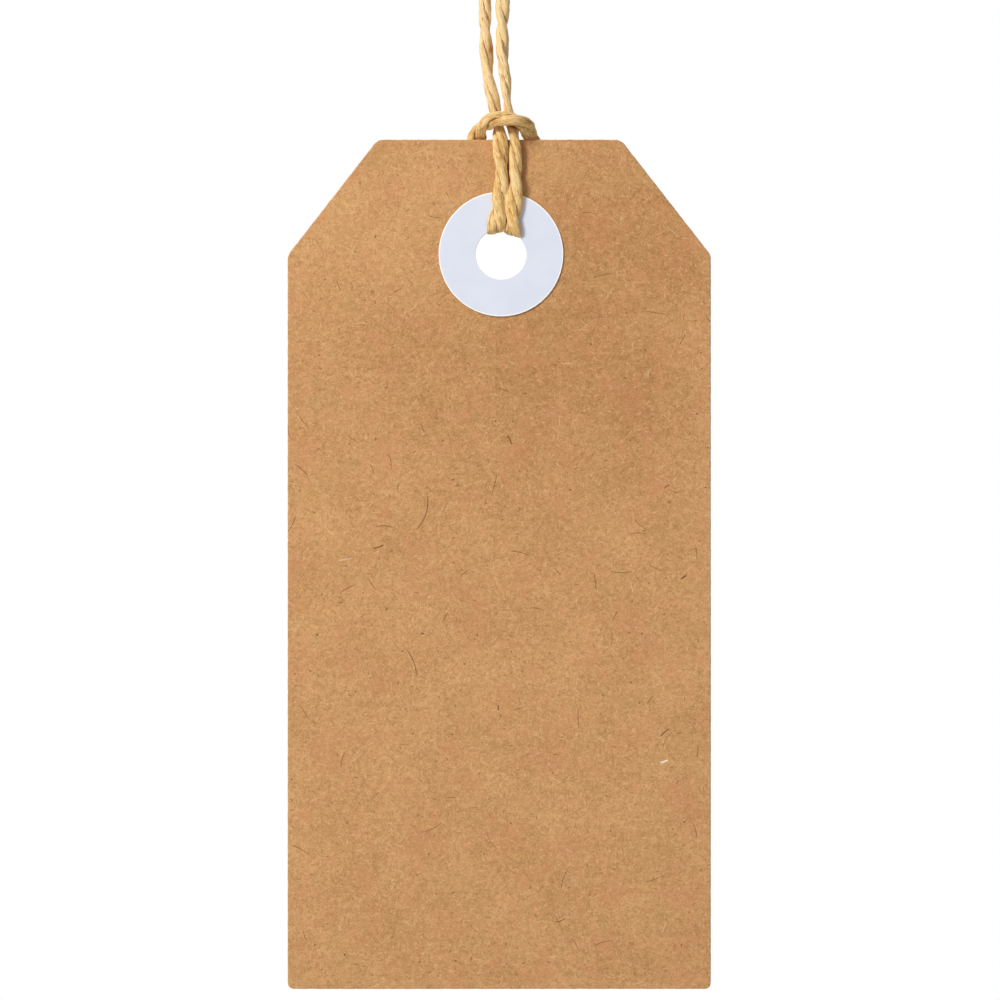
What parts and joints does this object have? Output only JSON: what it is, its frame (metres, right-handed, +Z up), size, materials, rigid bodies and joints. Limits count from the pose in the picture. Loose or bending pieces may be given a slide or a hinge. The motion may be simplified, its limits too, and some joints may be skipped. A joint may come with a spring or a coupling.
{
  "type": "gift tag",
  "caption": "Kraft card gift tag with cut top corners and a white-ringed hole, hanging on a twisted twine loop that is cow-hitched through the hole and knotted at its far end.",
  "frame": {"origin": "middle of the end knot, the point that the tag hangs from", "axes": "+Z up along the hanging cord, +X to the right across the card, +Y from the card's front face to its back"},
  "size_m": [0.048, 0.0054, 0.1786],
  "materials": {
    "kraft_card": "matte",
    "ring_paper": "satin",
    "twine": "matte"
  },
  "bodies": {
    "held_ends": {"cut_end_left": "twine", "cut_end_right": "twine"},
    "knot": {"end_knot": "twine"},
    "tails": {"tail_left": "twine", "tail_right": "twine"},
    "tag": {"tag_card": "kraft_card", "front_ring": "ring_paper", "rear_ring": "ring_paper", "hitch_cord": "twine"}
  },
  "joints": [
    {"name": "cord_twist", "type": "hinge", "parent": "held_ends", "child": "knot", "pos_m": [0, 0, 0.00214], "axis": [0, 0, 1], "range_deg": [-180, 180]},
    {"name": "cord_sway", "type": "hinge", "parent": "knot", "child": "tails", "pos_m": [0, 0, 0], "axis": [0, 1, 0], "range_deg": [-90, 90]},
    {"name": "tag_swing", "type": "hinge", "parent": "tails", "child": "tag", "pos_m": [0, 0, -0.06785], "axis": [1, 0, 0], "range_deg": [-90, 90]}
  ]
}
